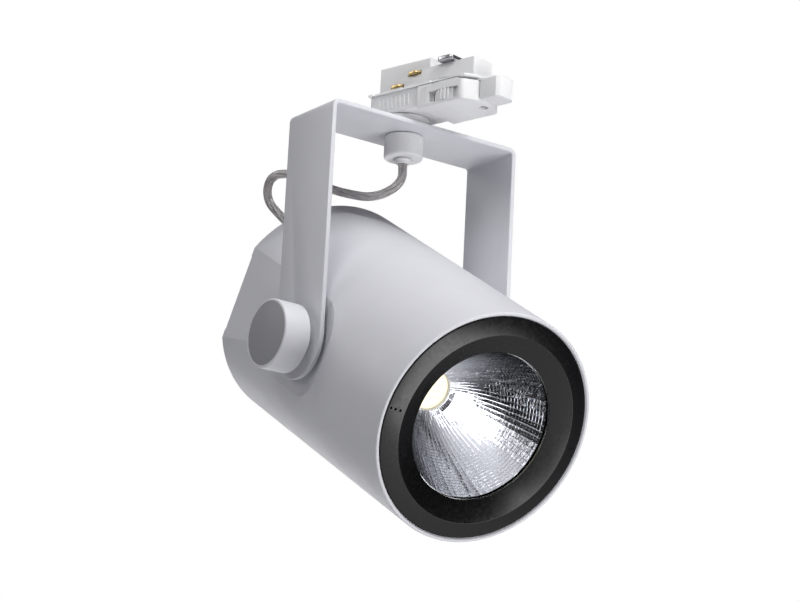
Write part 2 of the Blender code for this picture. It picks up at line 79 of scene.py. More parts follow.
class Body(Enum):
    """The bodies that pieces ride on."""

    ADAPTER = "adapter"
    LEVER = "lever"
    WHEEL = "wheel"
    BRACKET = "bracket"
    LEFT_CLAMP = "left_clamp"
    RIGHT_CLAMP = "right_clamp"
    HEAD = "head"
    BEZEL = "bezel"


def joint(name: str) -> dict:
    """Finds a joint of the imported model.

    Args:
        name: The joint's name.

    Returns:
        The joint's entry in the record.
    """
    return next(entry for entry in frame["joints"] if entry["name"] == name)


def adapter_matrix() -> Matrix:
    """The adapter's own frame: seat at zero, -Y towards the lever, as it stands turned in the track.

    Returns:
        The frame, in the shared one.
    """
    lever = joint("lever_swing")["pos_m"]
    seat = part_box("adapter_body")[1].z
    return Matrix.Translation((0, 0, seat)) @ Matrix.Rotation(math.atan2(lever[0], -lever[1]), 4, "Z")


def head_matrix() -> Matrix:
    """The head's own frame: X along the tilt axis, Y out of its top, Z along the beam.

    Returns:
        The frame, in the shared one.
    """
    beam = Vector(joint("ring_twist")["axis"]).normalized()
    side = Vector((1, 0, 0))
    columns = Matrix((side, beam.cross(side), beam)).transposed()
    return Matrix.Translation(joint("tilt")["pos_m"]) @ columns.to_4x4()


SEAT = Matrix.Translation((0, 0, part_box("adapter_body")[1].z))
HUB = Matrix.Translation(joint("tilt")["pos_m"])
ADAPTER = adapter_matrix()
HEAD = head_matrix()


# --- Finishes ---


class Nodes:
    """A material's node tree, with short calls for the nodes that the finishes use."""

    def __init__(self, name: str) -> None:
        """Makes an empty material with a Principled shader.

        Args:
            name: The material's name.
        """
        self.material = bpy.data.materials.new(name)
        self.material.use_nodes = True
        self.tree = self.material.node_tree
        self.shader = self.tree.nodes["Principled BSDF"]
        self.place = self.tree.nodes.new("ShaderNodeTexCoord").outputs["Object"]

    def set(self, **values: float | tuple) -> None:
        """Sets sockets of the shader.

        Args:
            values: Socket names with underscores for spaces, and their values.
        """
        for name, value in values.items():
            self.shader.inputs[name.replace("_", " ")].default_value = value

    def stretched(self, scale: tuple[float, float, float]) -> Socket:
        """Object coordinates scaled by axis.

        Args:
            scale: The three scales.
        
        Returns:
            The coordinates.
        """
        node = self.tree.nodes.new("ShaderNodeMapping")
        node.inputs["Scale"].default_value = scale
        self.tree.links.new(self.place, node.inputs["Vector"])
        return node.outputs["Vector"]

    def noise(self, scale: float, detail: float, where: Socket | None = None) -> Socket:
        """Noise on the object's own coordinates.

        Args:
            scale: Features per metre.
            detail: Octaves.
            where: Coordinates to use, if not the plain ones.

        Returns:
            The noise's value.
        """
        node = self.tree.nodes.new("ShaderNodeTexNoise")
        node.inputs["Scale"].default_value = scale
        node.inputs["Detail"].default_value = detail
        self.tree.links.new(where or self.place, node.inputs["Vector"])
        return node.outputs["Fac"]

    def between(
        self, value: Socket, low: float, high: float, start: float = 0.3, end: float = 0.7
    ) -> Socket:
        """Maps a noise value to a range.

        Args:
            value: The value to map.
            low: What it becomes at start.
            high: What it becomes at end.
            start: Input where the range begins.
            end: Input where it ends.

        Returns:
            The mapped value.
        """
        node = self.tree.nodes.new("ShaderNodeMapRange")
        for name, number in (("From Min", start), ("From Max", end), ("To Min", low), ("To Max", high)):
            node.inputs[name].default_value = number
        self.tree.links.new(value, node.inputs["Value"])
        return node.outputs["Result"]

    def mixed(self, share: Socket, first: Sequence[float], second: Sequence[float]) -> Socket:
        """A colour between two, by a share.

        Args:
            share: How far towards the second colour.
            first: A linear colour.
            second: Another.

        Returns:
            The colour.
        """
        node = self.tree.nodes.new("ShaderNodeMix")
        node.data_type = "RGBA"
        node.inputs["A"].default_value = (*first, 1.0)
        node.inputs["B"].default_value = (*second, 1.0)
        self.tree.links.new(share, node.inputs["Factor"])
        return node.outputs["Result"]

    def feed(self, socket: str, value: Socket) -> None:
        """Links a value to one of the shader's sockets."""
        self.tree.links.new(value, self.shader.inputs[socket])

    def bump(self, height: Socket, strength: float, distance: float) -> None:
        """Raises the surface by a height map, on top of what was raised before.

        Args:
            height: The height map.
            strength: How much of it counts.
            distance: Its full height in metres.
        """
        node = self.tree.nodes.new("ShaderNodeBump")
        node.inputs["Strength"].default_value = strength
        node.inputs["Distance"].default_value = distance
        self.tree.links.new(height, node.inputs["Height"])
        normal = self.shader.inputs["Normal"]
        if normal.is_linked:
            self.tree.links.new(normal.links[0].from_socket, node.inputs["Normal"])
        self.tree.links.new(node.outputs["Normal"], normal)


@dataclass(frozen=True)
class Finish:
    """One finish, made as a material the first time that it is asked for."""

    name: str
    colour: tuple[float, float, float]
    roughness: float = 0.5

    def material(self) -> bpy.types.Material:
        """The material, made once.

        Returns:
            The material.
        """
        found = bpy.data.materials.get("finish_" + self.name)
        if found:
            return found
        nodes = Nodes("finish_" + self.name)
        nodes.material.diffuse_color = (*self.colour, 1.0)
        self.dress(nodes)
        return nodes.material

    def tinted(self, nodes: Nodes, scale: float, spread: float) -> None:
        """Varies the colour a little over the surface.

        Args:
            nodes: The material.
            scale: Patches per metre.
            spread: How far the colour moves, as a share.
        """
        dark = [channel * (1 - spread) for channel in self.colour]
        light = [min(1.0, channel * (1 + spread)) for channel in self.colour]
        share = nodes.between(nodes.noise(scale, 3.0), 0.0, 1.0)
        nodes.feed("Base Color", nodes.mixed(share, dark, light))

    def worn(self, nodes: Nodes, marks: Socket, less: float, more: float) -> None:
        """Varies the roughness by a noise, from less to more than the finish's own."""
        nodes.feed("Roughness", nodes.between(marks, self.roughness - less, self.roughness + more))

    def dress(self, nodes: Nodes) -> None:
        """Fills in the material's nodes."""
        self.tinted(nodes, 60.0, 0.02)
        nodes.set(Roughness=self.roughness)


@dataclass(frozen=True)
class PowderCoat(Finish):
    """Baked powder paint with a fine, soft grain."""

    grain: float = 1500.0
    depth: float = 0.00002

    def dress(self, nodes: Nodes) -> None:
        """Grain, orange peel and slight changes of gloss.

        Args:
            nodes: The material.
        """
        self.tinted(nodes, 35.0, 0.015)
        self.worn(nodes, nodes.noise(90.0, 4.0), 0.04, 0.05)
        nodes.set(Specular_IOR_Level=0.45)
        nodes.bump(nodes.noise(self.grain, 2.0), 0.35, self.depth)
        nodes.bump(nodes.noise(260.0, 1.0), 0.12, 0.00006)


@dataclass(frozen=True)
class Moulding(Finish):
    """Injection-moulded plastic with a light spark-eroded texture."""

    grain: float = 3200.0

    def dress(self, nodes: Nodes) -> None:
        """Fine texture and slight flow lines.

        Args:
            nodes: The material.
        """
        self.tinted(nodes, 80.0, 0.02)
        flow = nodes.noise(140.0, 2.0, nodes.stretched((1.0, 0.25, 1.0)))
        self.worn(nodes, flow, 0.05, 0.06)
        nodes.bump(nodes.noise(self.grain, 2.0), 0.25, 0.00001)


@dataclass(frozen=True)
class SatinPaint(Finish):
    """Thin satin paint over a turned ring."""

    def dress(self, nodes: Nodes) -> None:
        """Dust-fine grain, faint rub marks and a soft gloss.

        Args:
            nodes: The material.
        """
        self.tinted(nodes, 200.0, 0.12)
        self.worn(nodes, nodes.noise(420.0, 5.0), 0.04, 0.05)
        nodes.set(Specular_IOR_Level=0.5)
        nodes.bump(nodes.noise(2600.0, 2.0), 0.1, 0.000004)


@dataclass(frozen=True)
class Metal(Finish):
    """Bare or plated metal with the marks of its making along one axis."""

    marks: tuple[float, float, float] = (1.0, 1.0, 1.0)
    grain: float = 900.0
    depth: float = 0.00001

    def dress(self, nodes: Nodes) -> None:
        """Metal with directional marks and patches of duller surface.

        Args:
            nodes: The material.
        """
        nodes.set(Metallic=1.0)
        self.tinted(nodes, 120.0, 0.05)
        streaks = nodes.noise(self.grain, 4.0, nodes.stretched(self.marks))
        self.worn(nodes, streaks, 0.06, 0.12)
        nodes.bump(streaks, 0.3, self.depth)


@dataclass(frozen=True)
class MirrorCoat(Finish):
    """Metallised plastic, bright and slightly uneven."""

    def dress(self, nodes: Nodes) -> None:
        """A mirror with a very slight ripple.

        Args:
            nodes: The material.
        """
        nodes.set(Metallic=1.0)
        self.tinted(nodes, 300.0, 0.02)
        self.worn(nodes, nodes.noise(800.0, 3.0), 0.0, 0.05)
        nodes.bump(nodes.noise(500.0, 1.0), 0.15, 0.00001)


@dataclass(frozen=True)
class Glow(Finish):
    """Phosphor gel that gives off light."""

    strength: float = 1.0

    def dress(self, nodes: Nodes) -> None:
        """Warm gel with a grain, glowing evenly.

        Args:
            nodes: The material.
        """
        self.tinted(nodes, 900.0, 0.06)
        nodes.set(Roughness=self.roughness, Emission_Strength=self.strength)
        nodes.set(Emission_Color=(1.0, 0.93, 0.76, 1.0))
        nodes.bump(nodes.noise(1800.0, 3.0), 0.3, 0.00004)


@dataclass(frozen=True)
class FloorPaint(Finish):
    """Pale floor, lifted a little where the camera sees it."""

    lift: float = 0.45

    def dress(self, nodes: Nodes) -> None:
        """Pale paint with a camera-only lift, which lights nothing.

        Args:
            nodes: The material.
        """
        self.tinted(nodes, 0.6, 0.01)
        seen = nodes.tree.nodes.new("ShaderNodeLightPath").outputs["Is Camera Ray"]
        nodes.set(Roughness=self.roughness, Emission_Color=(0.95, 0.96, 1.0, 1.0))
        nodes.feed("Emission Strength", nodes.between(seen, 0.0, self.lift, 0.0, 1.0))


@dataclass(frozen=True)
class ClearVinyl(Finish):
    """Clear flexible sheath."""

    def dress(self, nodes: Nodes) -> None:
        """Clear plastic with faint handling marks.

        Args:
            nodes: The material.
        """
        self.tinted(nodes, 150.0, 0.02)
        nodes.set(Transmission_Weight=1.0, IOR=1.46)
        self.worn(nodes, nodes.noise(700.0, 4.0), 0.0, 0.08)
        nodes.bump(nodes.noise(350.0, 2.0), 0.15, 0.00003)


POWDER_WHITE = PowderCoat("powder_white", (0.70, 0.70, 0.74), 0.46)
PLASTIC_WHITE = Moulding("plastic_white", (0.88, 0.88, 0.885), 0.34)
SATIN_BLACK = SatinPaint("satin_black", (0.002, 0.002, 0.0024), 0.24)
BRIGHT = MirrorCoat("bright_reflector", (0.93, 0.94, 0.97), 0.03)
CAST = Metal("cast_aluminium", (0.62, 0.63, 0.65), 0.42, depth=0.00003)
ZINC = Metal("zinc_steel", (0.60, 0.60, 0.62), 0.3, (1.0, 1.0, 0.1), 1400.0)
BRASS = Metal("brass", (0.80, 0.60, 0.28), 0.26, (0.15, 1.0, 1.0), 1600.0)
PHOSPHOR = Glow("led_phosphor", (0.98, 0.89, 0.60), 0.5, 0.45)
CERAMIC = Moulding("led_ceramic", (0.86, 0.86, 0.84), 0.45)
GREY_PLASTIC = Moulding("grey_plastic", (0.10, 0.105, 0.11), 0.42)
# Grey for a disc on each knob's face: painted shade, as the real faces are the same white as the knobs.
KNOB_FACE_PAINTED_SHADE = Moulding("knob_face_painted_shade", (0.34, 0.34, 0.36), 0.4)
VINYL = ClearVinyl("clear_sheath", (0.95, 0.94, 0.93), 0.02)
TINNED = SatinPaint("tinned_wire", (0.86, 0.83, 0.84), 0.2)
NYLON = Moulding("friction_nylon", (0.45, 0.45, 0.45), 0.5)

SLOTS = {
    finish.name: finish
    for finish in (
        POWDER_WHITE, PLASTIC_WHITE, SATIN_BLACK, BRIGHT, CAST, ZINC,
        BRASS, PHOSPHOR, CERAMIC, GREY_PLASTIC, VINYL, NYLON,
    )
}


# --- Shaping ---


def arc(cx: float, cy: float, radius: float, start: float, end: float, count: int) -> list[Point]:
    """Points along an arc.

    Args:
        cx: Centre.
        cy: Centre.
        radius: Radius.
        start: First angle in degrees.
        end: Last angle in degrees.
        count: Steps.

    Returns:
        The points.
    """
    angles = [math.radians(start + (end - start) * i / count) for i in range(count + 1)]
    return [(cx + radius * math.cos(a), cy + radius * math.sin(a)) for a in angles]


def filleted(corners: Sequence[tuple[float, ...]], steps: int = 4) -> list[Point]:
    """Rounds the corners of a line.

    Args:
        corners: Points of (x, y) or (x, y, fillet radius).
        steps: Steps in each fillet.

    Returns:
        The line's points, with an arc at each corner that has a radius.
    """
    points = []
    for i, corner in enumerate(corners):
        here = Vector(corner[:2])
        radius = corner[2] if len(corner) > 2 else 0.0
        if not radius:
            points.append(tuple(here))
            continue
        before = (Vector(corners[i - 1][:2]) - here).normalized()
        after = (Vector(corners[(i + 1) % len(corners)][:2]) - here).normalized()
        half = math.acos(max(-1.0, min(1.0, before.dot(after)))) / 2
        centre = here + (before + after).normalized() * radius / math.sin(half)
        first = here + before * radius / math.tan(half) - centre
        last = here + after * radius / math.tan(half) - centre
        turn = first.angle_signed(last)
        for step in range(steps + 1):
            spoke = Matrix.Rotation(-turn * step / steps, 2) @ first
            points.append(tuple(centre + spoke))
    return points


def lathe(profile: Sequence[Point], segments: int, closed: bool = True) -> Shape:
    """Spins a profile round Z.

    Args:
        profile: Points of (radius, height).
        segments: Steps in the turn.
        closed: Whether the profile is a loop. An open one ends on the axis.

    Returns:
        The turned shape.
    """
    mesh = bmesh.new()
    points = [mesh.verts.new((radius, 0, height)) for radius, height in profile]
    edges = [mesh.edges.new(pair) for pair in zip(points, points[1:])]
    if closed:
        edges.append(mesh.edges.new((points[-1], points[0])))
    whole = {"cent": (0, 0, 0), "axis": (0, 0, 1), "angle": 2 * math.pi, "steps": segments}
    bmesh.ops.spin(mesh, geom=points + edges, use_merge=True, use_duplicate=False, **whole)
    bmesh.ops.remove_doubles(mesh, verts=mesh.verts, dist=WELD_MM)
    bmesh.ops.recalc_face_normals(mesh, faces=mesh.faces)
    return mesh


def slab(outline: Sequence[Point], low: float, high: float, edge: float = 0.0) -> Shape:
    """Extrudes an outline in XY and rounds its rims.

    Args:
        outline: The closed outline.
        low: Lower height.
        high: Upper height.
        edge: Radius of the rims.

    Returns:
        The solid.
    """
    mesh = bmesh.new()
    base = mesh.faces.new([mesh.verts.new((x, y, low)) for x, y in outline])
    lifted = bmesh.ops.extrude_face_region(mesh, geom=[base])
    top = [v for v in lifted["geom"] if isinstance(v, bmesh.types.BMVert)]
    bmesh.ops.translate(mesh, vec=(0, 0, high - low), verts=top)
    bmesh.ops.recalc_face_normals(mesh, faces=mesh.faces)
    if edge:
        rims = [e for e in mesh.edges if abs(e.verts[0].co.z - e.verts[1].co.z) < 1e-6]
        rounded(mesh, rims, edge)
    return mesh


def rounded(mesh: Shape, edges: Iterable[bmesh.types.BMEdge], radius: float, segments: int = 3) -> None:
    """Rounds edges of a mesh.

    Args:
        mesh: The mesh.
        edges: Its edges to round.
        radius: Their radius.
        segments: Steps in each.
    """
    bmesh.ops.bevel(
        mesh,
        geom=list(edges),
        offset=radius,
        segments=segments,
        affect="EDGES",
        profile=0.5,
        material=-1,
        clamp_overlap=True,
    )


def brick(size: Sequence[float], centre: Sequence[float], edge: float = 0.0) -> Shape:
    """A box with rounded edges.

    Args:
        size: Its three sides.
        centre: Its middle.
        edge: Radius of its edges.

    Returns:
        The solid.
    """
    mesh = bmesh.new()
    bmesh.ops.create_cube(mesh, size=1.0)
    bmesh.ops.scale(mesh, vec=size, verts=mesh.verts)
    if edge:
        rounded(mesh, mesh.edges, edge, 2)
    bmesh.ops.translate(mesh, vec=centre, verts=mesh.verts)
    return mesh


def joined(parts: Iterable[Shape]) -> Shape:
    """Puts several shapes that don't touch in one mesh.

    Args:
        parts: The shapes, which are used up.
    
    Returns:
        The mesh.
    """
    whole = bmesh.new()
    for part in parts:
        data = bpy.data.meshes.new("joined_part")
        part.to_mesh(data)
        part.free()
        whole.from_mesh(data)
        bpy.data.meshes.remove(data)
    return whole


def turned(mesh: Shape, axis: str, degrees: float) -> Shape:
    """Turns a shape about the origin.

    Args:
        mesh: The shape.
        axis: The axis's letter.
        degrees: How far.
    
    Returns:
        The same shape.
    """
    turn = Matrix.Rotation(math.radians(degrees), 3, axis)
    bmesh.ops.rotate(mesh, cent=(0, 0, 0), matrix=turn, verts=mesh.verts)
    return mesh


def shifted(mesh: Shape, offset: Sequence[float]) -> Shape:
    """Moves a shape."""
    bmesh.ops.translate(mesh, vec=offset, verts=mesh.verts)
    return mesh


def merged(node: str, radius: float = 0.0, sharp: float = 35.0, segments: int = 3) -> Shape:
    """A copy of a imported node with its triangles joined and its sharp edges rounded, in metres.

    Args:
        node: The node's name.
        radius: Radius of its edges, in millimetres.
        sharp: The least angle in degrees at which an edge counts as sharp.
        segments: Steps in each rounded edge.

    Returns:
        The copy.
    """
    mesh = bmesh.new()
    mesh.from_mesh(frame["nodes"][node].data)
    bmesh.ops.remove_doubles(mesh, verts=mesh.verts, dist=WELD)
    bmesh.ops.dissolve_degenerate(mesh, edges=mesh.edges, dist=WELD)
    flat = math.radians(FLAT_ANGLE)
    bmesh.ops.dissolve_limit(mesh, angle_limit=flat, verts=mesh.verts, edges=mesh.edges)
    if radius:
        limit = math.radians(sharp)
        edges = [e for e in mesh.edges if len(e.link_faces) == 2 and e.calc_face_angle(0) > limit]
        rounded(mesh, edges, radius * MM, segments)
    return mesh


def tube_mesh(name: str, points: Sequence[Vector], radius: float, resolution: int) -> bpy.types.Mesh:
    """A capped tube along a line.

    Args:
        name: Its name.
        points: The line, in metres.
        radius: Its radius in metres.
        resolution: Bevel resolution.

    Returns:
        The tube's mesh.
    """
    curve = bpy.data.curves.new(name, "CURVE")
    curve.dimensions = "3D"
    curve.bevel_depth = radius
    curve.bevel_resolution = resolution
    curve.use_fill_caps = True
    spline = curve.splines.new("POLY")
    spline.points.add(len(points) - 1)
    for slot, point in zip(spline.points, points):
        slot.co = (*point, 1.0)
    holder = bpy.data.objects.new(name + "_line", curve)
    bpy.context.scene.collection.objects.link(holder)
    bpy.context.view_layer.update()
    data = bpy.data.meshes.new_from_object(holder.evaluated_get(bpy.context.evaluated_depsgraph_get()))
    bpy.data.objects.remove(holder)
    bpy.data.curves.remove(curve)
    mesh = bmesh.new()
    mesh.from_mesh(data)
    bmesh.ops.remove_doubles(mesh, verts=mesh.verts, dist=1e-6)
    bmesh.ops.recalc_face_normals(mesh, faces=mesh.faces)
    mesh.to_mesh(data)
    mesh.free()
    data.name = name
    return data


def cut(obj: Piece, cutters: Iterable[Shape], place: Matrix, operation: str = "DIFFERENCE") -> None:
    """Cuts shapes out of a piece, or joins them to it.

    Args:
        obj: The piece.
        cutters: Shapes in millimetres.
        place: Their frame.
        operation: The Boolean's operation.
    """
    tool = bpy.data.objects.new("cutting_tool", bpy.data.meshes.new("cutting_tool"))
    whole = joined(cutters)
    bmesh.ops.transform(whole, matrix=place @ Matrix.Scale(MM, 4), verts=whole.verts)
    bmesh.ops.recalc_face_normals(whole, faces=whole.faces)
    whole.to_mesh(tool.data)
    whole.free()
    bpy.context.scene.collection.objects.link(tool)
    modifier = obj.modifiers.new("cut", "BOOLEAN")
    modifier.operation = operation
    modifier.solver = "EXACT"
    modifier.object = tool
    bpy.context.view_layer.update()
    made = bpy.data.meshes.new_from_object(obj.evaluated_get(bpy.context.evaluated_depsgraph_get()))
    obj.modifiers.remove(modifier)
    obj.data = made
    bpy.data.objects.remove(tool)


def shade(data: bpy.types.Mesh, sharp: float) -> None:
    """Shades a mesh smooth, apart from edges sharper than an angle in degrees. Zero leaves it faceted.

    Args:
        data: The mesh.
        sharp: The angle.
    """
    if sharp:
        data.shade_smooth()
        data.set_sharp_from_angle(angle=math.radians(sharp))
    else:
        data.shade_flat()


@dataclass(frozen=True)
class Dress:
    """How a shape becomes a piece."""

    finish: Finish
    body: Body
    replaces: tuple[str, ...] = ()
    sharp: float = 32.0
    slot: str = ""

    def piece(self, name: str, mesh: Shape, place: Matrix | None) -> Piece:
        """Makes a piece from a shape.

        Args:
            name: The piece's name.
            mesh: The shape, which is used up.
            place: The frame of a shape in millimetres, or None for a shape in metres in the shared frame.

        Returns:
            The piece.
        """
        if place is not None:
            bmesh.ops.transform(mesh, matrix=place @ Matrix.Scale(MM, 4), verts=mesh.verts)
        data = bpy.data.meshes.new(name)
        mesh.to_mesh(data)
        mesh.free()
        obj = bpy.data.objects.new(name, data)
        bpy.context.scene.collection.objects.link(obj)
        return self.put(obj)

    def put(self, obj: Piece) -> Piece:
        """Gives a finished object its material and its body.

        Args:
            obj: The object, in the shared frame.

        Returns:
            The same object.
        """
        obj.data.materials.clear()
        obj.data.materials.append(self.finish.material())
        shade(obj.data, self.sharp)
        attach(obj, self.body.value)
        if self.replaces:
            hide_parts(*self.replaces)
        LOG.info("%s rides on %s", obj.name, self.body.value)
        return obj


def refined(node: str, finish: Finish, body: Body, radius: float, sharp: float = 35.0) -> Piece:
    """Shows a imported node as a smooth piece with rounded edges.

    Args:
        node: The node that the piece stands for.
        finish: Its finish.
        body: Its body.
        radius: Radius of its edges, in millimetres.
        sharp: The least angle of an edge that is rounded, in degrees.

    Returns:
        The piece.
    """
    return Dress(finish, body, (node,)).piece(node + "_shape", merged(node, radius, sharp), None)


# --- Sub-assemblies ---


@dataclass
class SupplyLead:
    """The clear lead from the yoke's gland, out behind the yoke and into the head's rear gland."""

    radius: float = 2.8
    rear_gland: tuple[float, float] = (-34.0, 46.0)
    rear_depths: tuple[float, ...] = (-112.0, -108.0, -100.0, -88.0)
    wire_radius: float = 1.0
    wire_offset: float = 1.2
    wire_pitch: float = 52.0
    route: tuple[tuple[float, float, float], ...] = (
        (0.0, 0.0, -34.6), (0.0, 0.0, -45.0), (0.5, 0.5, -50.5), (-0.5, 1.5, -55.0),
        (-3.5, 4.5, -59.5), (-8.0, 10.5, -63.0), (-13.5, 18.0, -64.0), (-19.5, 27.0, -61.8),
        (-25.5, 36.5, -58.3), (-32.0, 48.0, -52.5), (-37.5, 59.5, -46.8), (-41.0, 70.0, -43.0),
        (-42.8, 79.5, -42.0), (-43.0, 86.5, -44.5), (-42.0, 90.0, -50.5), (-40.0, 89.5, -57.5),
        (-37.6, 84.5, -64.2),
    )
    line: list[Vector] = field(default_factory=list)

    def centreline(self, count: int) -> list[Vector]:
        """The lead's middle line.

        Args:
            count: Points along it.

        Returns:
            Evenly spaced points in the shared frame, in metres.
        """
        path = [SEAT @ (Vector(p) * MM) for p in self.route]
        path += [HEAD @ (Vector((*self.rear_gland, depth)) * MM) for depth in self.rear_depths]
        padded = [path[0] * 2 - path[1], *path, path[-1] * 2 - path[-2]]
        fine = []
        for a, b, c, d in zip(padded, padded[1:], padded[2:], padded[3:]):
            for i in range(16):
                t = i / 16
                square = (2 * a - 5 * b + 4 * c - d) * t**2
                cube = (3 * b - a - 3 * c + d) * t**3
                fine.append((2 * b + (c - a) * t + square + cube) / 2)
        fine.append(path[-1])
        return self.even(fine, count)

    @staticmethod
    def even(points: list[Vector], count: int) -> list[Vector]:
        """Spaces points evenly along a line.

        Args:
            points: The line.
            count: How many points to return.

        Returns:
            The evenly spaced points.
        """
        total = sum((b - a).length for a, b in zip(points, points[1:]))
        step = total / (count - 1)
        found = [points[0]]
        walked = 0.0
        for a, b in zip(points, points[1:]):
            span = (b - a).length
            while walked + span >= step * len(found) - 1e-9 and len(found) < count:
                share = (step * len(found) - walked) / span
                found.append(a.lerp(b, max(0.0, min(1.0, share))))
            walked += span
        return found

    def wound(self, phase: float, offset: float, pitch: float) -> list[Vector]:
        """A line that winds round the lead's middle line.

        Args:
            phase: Where it starts, in radians.
            offset: How far out it lies, in millimetres.
            pitch: Length of one turn, in millimetres.

        Returns:
            The line's points.
        """
        side = Vector((1, 0, 0))
        points = []
        walked = 0.0
        last = self.line[0]
        for i, point in enumerate(self.line):
            ahead = self.line[min(i + 1, len(self.line) - 1)] - self.line[max(i - 1, 0)]
            ahead.normalize()
            side = (side - ahead * side.dot(ahead)).normalized()
            walked += (point - last).length
            last = point
            angle = phase + 2 * math.pi * walked / (pitch * MM)
            spoke = side * math.cos(angle) + ahead.cross(side) * math.sin(angle)
            points.append(point + spoke * offset * MM)
        return points

    def build(self) -> None:
        """Makes the sheath and the three wires inside it."""
        self.line = self.centreline(150)
        wires = [self.wire(index) for index in range(3)]
        data = tube_mesh("lead_sheath", self.line, self.radius * MM, 6)
        sheath = bpy.data.objects.new("lead_sheath", data)
        bpy.context.scene.collection.objects.link(sheath)
        for obj, finish in [(sheath, VINYL), *[(wire, TINNED) for wire in wires]]:
            obj.data.materials.clear()
            obj.data.materials.append(finish.material())
            shade(obj.data, 60.0)
            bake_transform(obj)
            LOG.info("%s bends between bracket and head", obj.name)
        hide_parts("supply_lead")

    def wire(self, index: int) -> Piece:
        """One of the tinned wires, wound with the others.

        Args:
            index: Which of the three wires.

        Returns:
            The wire.
        """
        path = self.wound(2 * math.pi * index / 3, self.wire_offset, self.wire_pitch)
        name = "lead_wire_" + "abc"[index]
        obj = bpy.data.objects.new(name, tube_mesh(name, path, self.wire_radius * MM, 4))
        bpy.context.scene.collection.objects.link(obj)
        return obj


@dataclass
class TrackAdapter:
    """The adapter under the track: its box, cover, insert, contacts, lever and wheel."""

    neck_half: float = 16.5
    flange_half: float = 18.0
    vent_count: int = 8
    vent_first: float = -11.5
    vent_pitch: float = 3.4
    seam: float = -25.15
    bow_start: float = -60.6
    nose: float = -68.0
    underside: float = -16.6
    wheel_place: tuple[float, float, float] = (-4.9, -46.0, 0.0)
    rib_count: int = 30
    screw_place: tuple[float, float] = (4.0, -60.6)

    def build(self) -> None:
        """Makes every piece of the adapter."""
        self.rear_box()
        self.cover()
        self.lever_and_wheel()
        self.inside_the_track()
        self.small_parts()

    def rear_box(self) -> None:
        """The rear box with its flange, notches and moulded ribs."""
        box = refined("adapter_body", PLASTIC_WHITE, Body.ADAPTER, 0.35)
        notches = [
            brick((3.0, 7.0, 2.4), (side * (self.flange_half + 0.4), y, -0.2))
            for side in (-1, 1)
            for y in (8.5, -15.5, -38.5)
        ]
        cut(box, notches, ADAPTER)
        Dress(PLASTIC_WHITE, Body.ADAPTER).put(box)
        rib_x = self.neck_half + 0.2
        ribs = [
            brick((0.5, 1.3, 7.6), (side * rib_x, -self.vent_first - self.vent_pitch * i - 4, -8.2), 0.2)
            for side in (-1, 1)
            for i in range(self.vent_count)
        ]
        Dress(PLASTIC_WHITE, Body.ADAPTER).piece("adapter_side_ribs", joined(ribs), ADAPTER)

    def cover(self) -> None:
        """The bowed cover: wheel window, lever slot under the flange, screw well and parting line."""
        half = self.flange_half
        outline = filleted([
            (half, self.seam), (half, self.bow_start, 4.0), (8.0, self.nose + 1.2, 12.0),
            (-8.0, self.nose + 1.2, 12.0), (-half, self.bow_start, 4.0), (-half, self.seam),
        ], 8)
        dress = Dress(PLASTIC_WHITE, Body.ADAPTER, ("adapter_cover",), 40.0)
        cover = dress.piece("adapter_cover_shape", slab(outline, self.underside, -1.8, 0.9), ADAPTER)
        sweep = [(46, -31.5), (-13.5, -31.5), (-13.5, -57.5), (-40, -57.5), (-40, -90), (46, -90)]
        room = lathe([(0, -15.0), (11.6, -15.0), (11.6, 0.0), (0, 0.0)], 64, closed=False)
        ring = lathe([(0, -15.0), (13.9, -15.0), (13.9, -7.2), (0, -7.2)], 64, closed=False)
        well = filleted([
            (0, -18), (3.4, -18), (3.0, -16.0, 0.3), (2.9, -13.8), (1.5, -13.8), (1.5, -4.6), (0, -4.6),
        ])
        cutters = [
            slab(sweep, -3.4, 0.2),
            shifted(room, self.wheel_place),
            shifted(ring, self.wheel_place),
            brick((6.0, 23.6, 7.4), (-17.0, self.wheel_place[1], -11.1)),
            brick((2.0, 5.0, 2.2), (-18.2, -38.5, -2.2)),
            shifted(lathe(well, 40, closed=False), (self.screw_place[0], self.screw_place[1], 0.0)),
        ]
        for cutter in cutters:
            cut(cover, [cutter], ADAPTER)
        parting_line = brick((2 * half - 5.0, 0.3, 0.4), (0, -44.0, self.underside))
        cut(cover, [parting_line, *self.side_lines()], ADAPTER)
        dress.put(cover)

    def side_lines(self) -> list[Shape]:
        """Fine moulded lines down both sides of the cover, beside the wheel's window.

        Returns:
            The cutters.
        """
        return [
            brick((0.4, 0.25, 10.5), (side * self.flange_half, self.seam - 3.2 - 1.1 * i, -9.0))
            for side in (-1, 1)
            for i in range(4)
        ]

    def lever_and_wheel(self) -> None:
        """The lock lever, its latch and the circuit wheel."""
        refined("lock_lever", PLASTIC_WHITE, Body.LEVER, 1.2)
        refined("track_latch", ZINC, Body.LEVER, 0.3)
        outline = []
        for i in range(self.rib_count):
            for share, radius in ((0.0, 12.3), (0.2, 13.5), (0.6, 13.5), (0.8, 12.3)):
                angle = 2 * math.pi * (i + share) / self.rib_count
                outline.append((radius * math.cos(angle), radius * math.sin(angle)))
        dress = Dress(PLASTIC_WHITE, Body.WHEEL, ("circuit_wheel",))
        blank = shifted(slab(outline, -14.7, -7.4), self.wheel_place)
        wheel = dress.piece("circuit_wheel_shape", blank, ADAPTER)
        bore = lathe([(0, -16), (2.3, -16), (2.3, -6), (0, -6)], 32, closed=False)
        cut(wheel, [shifted(bore, self.wheel_place)], ADAPTER)
        dress.put(wheel)

    def inside_the_track(self) -> None:
        """The insert and the contact blades."""
        refined("track_insert", PLASTIC_WHITE, Body.ADAPTER, 0.3)
        for node in (*("phase_contact_%d" % i for i in (1, 2, 3)), "neutral_contact", "earth_contact"):
            refined(node, BRASS, Body.ADAPTER, 0.2)

